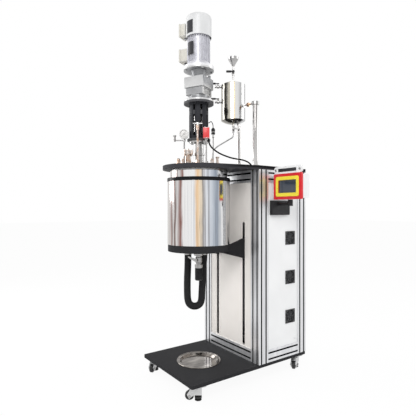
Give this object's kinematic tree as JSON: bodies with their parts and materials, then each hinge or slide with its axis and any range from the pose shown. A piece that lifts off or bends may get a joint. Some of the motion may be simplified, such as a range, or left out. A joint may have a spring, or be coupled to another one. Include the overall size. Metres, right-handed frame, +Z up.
{
  "type": "high-pressure reactor",
  "caption": "Floor-standing stirred pressure reactor: jacketed vessel on a lift, geared drive on a lantern, dosing tank, and a slotted-profile cabinet on levelling casters.",
  "frame": {"origin": "on the floor under the middle of the machine's bounding box, at rest on its levelling pads", "axes": "+Z up, -Y the side on which the vessel stands, +X the side with the fans and the operating panel"},
  "size_m": [0.855, 0.949, 2.365],
  "materials": {
    "black_plate": "black satin powder coat",
    "polished_steel": "polished stainless",
    "satin_steel": "brushed stainless",
    "profile": "silver anodised",
    "white_panel": "warm white powder coat",
    "plastic_black": "black moulding",
    "foam": "black foam insulation",
    "cable_black": "black cable sheath",
    "motor_paint": "pale grey paint on ribbed casting",
    "gear_grey": "mid grey paint on casting",
    "cowl_white": "pale grey pressed sheet",
    "head_red": "coral red moulding",
    "screen_red": "red frame with a yellow bezel and dark display",
    "caster_metal": "grey die casting",
    "wheel_nylon": "black nylon",
    "pad_rubber": "black pad and thumbwheel",
    "gauge_face": "stainless case with white dial"
  },
  "bodies": {
    "machine": {"base_plate": "black_plate", "drip_tray": "polished_steel", "caster_plates": "black_plate", "frame_profiles": "profile", "front_panel": "white_panel", "right_panel": "white_panel", "cover_panels": "white_panel", "fan_frames": "plastic_black", "top_plate": "black_plate", "lid": "satin_steel", "lid_bolts": "satin_steel", "lift_guides": "satin_steel", "drive_neck": "satin_steel", "lantern": "black_plate", "gearbox": "gear_grey", "motor_adaptor": "motor_paint", "motor_housing": "motor_paint", "fan_cowl": "cowl_white", "lid_ports": "satin_steel", "pressure_gauge": "gauge_face", "sensor_head": "head_red", "thermocouple": "satin_steel", "dosing_tank": "polished_steel", "tank_fittings": "satin_steel", "support_posts": "satin_steel", "screen_bracket": "black_plate", "sensor_cable": "cable_black", "plug_cable": "cable_black"},
    "vessel": {"vessel_pot": "polished_steel", "jacket": "polished_steel", "flange_ring": "black_plate", "carrier": "black_plate", "discharge_valve": "satin_steel", "jacket_hose": "foam"},
    "discharge_lever": {"discharge_lever": "satin_steel"},
    "stirrer": {"stirrer_shaft": "satin_steel", "anchor": "satin_steel"},
    "cooling_fan": {"cooling_fan": "plastic_black"},
    "fan_upper": {"fan_upper": "plastic_black"},
    "fan_middle": {"fan_middle": "plastic_black"},
    "fan_lower": {"fan_lower": "plastic_black"},
    "t_handle": {"t_handle": "satin_steel"},
    "funnel_lever": {"funnel_lever": "plastic_black"},
    "upper_lever": {"upper_lever": "plastic_black"},
    "lower_lever": {"lower_lever": "plastic_black"},
    "outlet_lever": {"outlet_lever": "plastic_black"},
    "screen": {"screen_case": "white_panel", "screen_front": "screen_red"},
    "caster_front_right": {"caster_front_right_housing": "caster_metal"},
    "wheel_front_right": {"caster_front_right_wheel": "wheel_nylon"},
    "foot_front_right": {"caster_front_right_foot": "pad_rubber"},
    "caster_front_left": {"caster_front_left_housing": "caster_metal"},
    "wheel_front_left": {"caster_front_left_wheel": "wheel_nylon"},
    "foot_front_left": {"caster_front_left_foot": "pad_rubber"},
    "caster_back_right": {"caster_back_right_housing": "caster_metal"},
    "wheel_back_right": {"caster_back_right_wheel": "wheel_nylon"},
    "foot_back_right": {"caster_back_right_foot": "pad_rubber"},
    "caster_back_left": {"caster_back_left_housing": "caster_metal"},
    "wheel_back_left": {"caster_back_left_wheel": "wheel_nylon"},
    "foot_back_left": {"caster_back_left_foot": "pad_rubber"}
  },
  "joints": [
    {"name": "lift", "type": "slide", "parent": "machine", "child": "vessel", "axis": [0, 0, 1], "range_m": [-0.3, 0]},
    {"name": "discharge_turn", "type": "hinge", "parent": "vessel", "child": "discharge_lever", "pos_m": [-0.1275, -0.2255, 0.7655], "axis": [0.4226, -0.9063, 0], "range_deg": [0, 90]},
    {"name": "stirrer_spin", "type": "hinge", "parent": "machine", "child": "stirrer", "pos_m": [-0.1275, -0.2255, 1.4], "axis": [0, 0, 1], "continuous": true},
    {"name": "motor_spin", "type": "hinge", "parent": "machine", "child": "cooling_fan", "pos_m": [-0.1275, -0.2255, 2.222], "axis": [0, 0, 1], "continuous": true},
    {"name": "fan_upper_spin", "type": "hinge", "parent": "machine", "child": "fan_upper", "pos_m": [0.1605, 0.3225, 0.905], "axis": [1, 0, 0], "continuous": true},
    {"name": "fan_middle_spin", "type": "hinge", "parent": "machine", "child": "fan_middle", "pos_m": [0.1605, 0.3225, 0.64], "axis": [1, 0, 0], "continuous": true},
    {"name": "fan_lower_spin", "type": "hinge", "parent": "machine", "child": "fan_lower", "pos_m": [0.1605, 0.3225, 0.375], "axis": [1, 0, 0], "continuous": true},
    {"name": "t_handle_turn", "type": "hinge", "parent": "machine", "child": "t_handle", "pos_m": [-0.02006, -0.30734, 1.64], "axis": [0, 0, 1], "range_deg": [0, 1080]},
    {"name": "funnel_turn", "type": "hinge", "parent": "machine", "child": "funnel_lever", "pos_m": [-0.0755, 0.0245, 2.035], "axis": [0.8131, -0.5821, 0], "range_deg": [0, 90]},
    {"name": "upper_turn", "type": "hinge", "parent": "machine", "child": "upper_lever", "pos_m": [-0.13604, -0.06006, 1.936], "axis": [0, 0, 1], "range_deg": [0, 90]},
    {"name": "lower_turn", "type": "hinge", "parent": "machine", "child": "lower_lever", "pos_m": [-0.13604, -0.06006, 1.832], "axis": [0, 0, 1], "range_deg": [0, 90]},
    {"name": "outlet_turn", "type": "hinge", "parent": "machine", "child": "outlet_lever", "pos_m": [-0.0755, 0.0245, 1.647], "axis": [-0.8131, 0.5821, 0], "range_deg": [0, 90]},
    {"name": "screen_swing", "type": "hinge", "parent": "machine", "child": "screen", "pos_m": [0.2925, 0.1895, 1.161], "axis": [0, 0, 1], "range_deg": [-60, 60]},
    {"name": "front_right_swivel", "type": "hinge", "parent": "machine", "child": "caster_front_right", "pos_m": [0.1325, -0.4065, 0.08], "axis": [0, 0, 1], "continuous": true},
    {"name": "front_right_roll", "type": "hinge", "parent": "caster_front_right", "child": "wheel_front_right", "pos_m": [0.10382, -0.44746, 0.028], "axis": [0.8192, -0.5736, 0], "continuous": true},
    {"name": "front_right_level", "type": "slide", "parent": "caster_front_right", "child": "foot_front_right", "axis": [0, 0, 1], "range_m": [-0.006, 0.006]},
    {"name": "front_left_swivel", "type": "hinge", "parent": "machine", "child": "caster_front_left", "pos_m": [-0.3875, -0.4065, 0.08], "axis": [0, 0, 1], "continuous": true},
    {"name": "front_left_roll", "type": "hinge", "parent": "caster_front_left", "child": "wheel_front_left", "pos_m": [-0.35882, -0.44746, 0.028], "axis": [0.8192, 0.5736, 0], "continuous": true},
    {"name": "front_left_level", "type": "slide", "parent": "caster_front_left", "child": "foot_front_left", "axis": [0, 0, 1], "range_m": [-0.006, 0.006]},
    {"name": "back_right_swivel", "type": "hinge", "parent": "machine", "child": "caster_back_right", "pos_m": [0.1325, 0.4145, 0.08], "axis": [0, 0, 1], "continuous": true},
    {"name": "back_right_roll", "type": "hinge", "parent": "caster_back_right", "child": "wheel_back_right", "pos_m": [0.1575, 0.3712, 0.028], "axis": [0.866, 0.5, 0], "continuous": true},
    {"name": "back_right_level", "type": "slide", "parent": "caster_back_right", "child": "foot_back_right", "axis": [0, 0, 1], "range_m": [-0.006, 0.006]},
    {"name": "back_left_swivel", "type": "hinge", "parent": "machine", "child": "caster_back_left", "pos_m": [-0.3875, 0.4145, 0.08], "axis": [0, 0, 1], "continuous": true},
    {"name": "back_left_roll", "type": "hinge", "parent": "caster_back_left", "child": "wheel_back_left", "pos_m": [-0.3625, 0.3712, 0.028], "axis": [0.866, 0.5, 0], "continuous": true},
    {"name": "back_left_level", "type": "slide", "parent": "caster_back_left", "child": "foot_back_left", "axis": [0, 0, 1], "range_m": [-0.006, 0.006]}
  ],
  "couplings": [
    {"joint": "motor_spin", "follows": "stirrer_spin", "ratio": 10}
  ]
}
